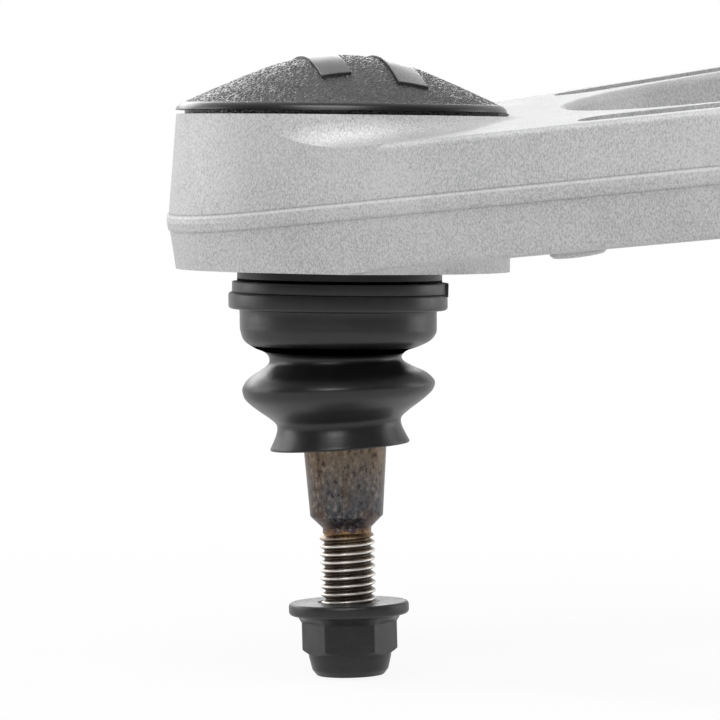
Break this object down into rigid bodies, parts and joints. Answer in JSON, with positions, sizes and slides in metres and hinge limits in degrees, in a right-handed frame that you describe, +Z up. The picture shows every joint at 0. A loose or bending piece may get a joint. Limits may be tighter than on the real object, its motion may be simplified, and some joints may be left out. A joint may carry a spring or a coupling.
{
  "type": "upper control arm",
  "caption": "A-shaped forged aluminium suspension arm with a captive ball joint and boot in its eye, and rubber bushings at the ends of its legs.",
  "frame": {"origin": "centre of the ball in the ball joint", "axes": "+Z up the axis of the eye, away from the stud; +Y across the vehicle's length from the front leg to the rear leg; +X from the ball joint towards the pivot axis"},
  "size_m": [0.2833, 0.3028, 0.1742],
  "materials": {
    "arm_aluminium": "shot-blasted forging",
    "black_steel": "black coated, satin",
    "spring_steel": "oiled black",
    "stud_steel": "heat-treated, mottled",
    "nut_steel": "black phosphate",
    "zinc_steel": "zinc plated",
    "race_plastic": "moulded, natural",
    "insert_nylon": "moulded, natural",
    "cap_plastic": "fine leather grain, bars smooth",
    "boot_rubber": "smooth, satin",
    "bushing_rubber": "moulded, matte"
  },
  "bodies": {
    "arm": {"forged_arm": "arm_aluminium", "ball_joint_housing": "black_steel", "end_cap": "black_steel", "preload_washer": "spring_steel", "housing_snap_ring": "spring_steel", "dust_cap": "cap_plastic", "dust_cap_o_ring": "boot_rubber", "dust_boot": "boot_rubber", "boot_retaining_ring": "spring_steel", "front_outer_sleeve": "zinc_steel", "front_bushing_rubber": "bushing_rubber", "rear_outer_sleeve": "zinc_steel", "rear_bushing_rubber": "bushing_rubber"},
    "races": {"upper_race": "race_plastic", "lower_race": "race_plastic"},
    "boot_end": {"boot_lip_ring": "spring_steel"},
    "stud": {"ball_stud": "stud_steel", "stud_nut": "nut_steel", "nut_locking_insert": "insert_nylon"},
    "front_sleeve": {"front_inner_sleeve": "zinc_steel"},
    "rear_sleeve": {"rear_inner_sleeve": "zinc_steel"}
  },
  "joints": [
    {"name": "ball_yaw", "type": "hinge", "parent": "arm", "child": "races", "pos_m": [0, 0, 0], "axis": [0, 0, 1], "continuous": true},
    {"name": "ball_tilt", "type": "hinge", "parent": "races", "child": "boot_end", "pos_m": [0, 0, 0], "axis": [0, 1, 0], "range_deg": [-23, 27], "deforming": ["dust_boot"]},
    {"name": "stud_spin", "type": "hinge", "parent": "boot_end", "child": "stud", "pos_m": [0, 0, 0], "axis": [0.0349, 0, -0.9994], "continuous": true},
    {"name": "front_pivot", "type": "hinge", "parent": "arm", "child": "front_sleeve", "pos_m": [0.21478, -0.12368, 0.03364], "axis": [0, 0.9981, 0.0619], "range_deg": [-30, 30], "stiffness_Nm_per_rad": 40},
    {"name": "rear_pivot", "type": "hinge", "parent": "arm", "child": "rear_sleeve", "pos_m": [0.21478, 0.11985, 0.04875], "axis": [0, 0.9981, 0.0619], "range_deg": [-30, 30], "stiffness_Nm_per_rad": 40}
  ]
}
